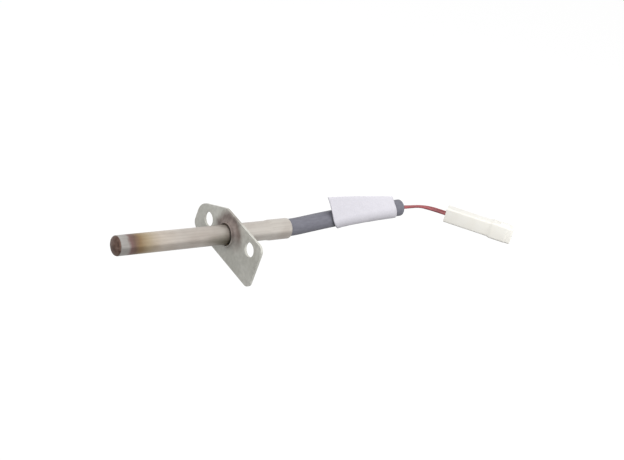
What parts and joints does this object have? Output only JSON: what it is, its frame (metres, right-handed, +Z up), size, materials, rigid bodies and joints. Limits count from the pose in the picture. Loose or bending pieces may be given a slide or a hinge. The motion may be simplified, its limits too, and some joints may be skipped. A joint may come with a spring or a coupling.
{
  "type": "flame sensor probe",
  "caption": "Closed metal sheath probe through a two-hole flange with a drawn collar, with a sleeved two-lead tail and a two-way connector.",
  "frame": {"origin": "on the sheath's axis, in the flange's tip-side face, midway between the screw holes", "axes": "+X along the sheath from the tip to the rear, +Y along the line of the two screw holes, +Z up across that line"},
  "size_m": [0.1413, 0.0444, 0.0205],
  "materials": {
    "stainless": "brushed, straw and brown heat tint near the tip",
    "oxidised_tip": "dark red-brown oxide",
    "plate_steel": "matt rolled sheet",
    "braze": "dull",
    "ceramic": "unglazed ceramic",
    "cement": "dry cement",
    "nickel": "drawn wire",
    "tinned": "tinned copper alloy",
    "shrink": "satin",
    "potting": "satin",
    "sleeve_grey": "satin blue-grey",
    "paper": "bare white paper",
    "lead_red": "satin dark red",
    "nylon": "milky unfilled nylon"
  },
  "bodies": {
    "root": {"sheath_tube": "stainless", "tip_cap": "oxidised_tip", "sensing_element": "ceramic", "element_cement": "cement", "element_wire_a": "nickel", "element_wire_b": "nickel", "insulator_beads": "ceramic", "flange_plate": "plate_steel", "flange_braze": "braze", "splice_barrels": "tinned", "splice_sleeves": "shrink", "potting_plug": "potting", "lead_sleeve": "sleeve_grey", "label_wrap": "paper", "connector_housing": "nylon", "lead_a": "lead_red", "lead_a_core": "tinned", "terminal_a": "tinned", "lead_b": "lead_red", "lead_b_core": "tinned", "terminal_b": "tinned"}
  },
  "joints": []
}
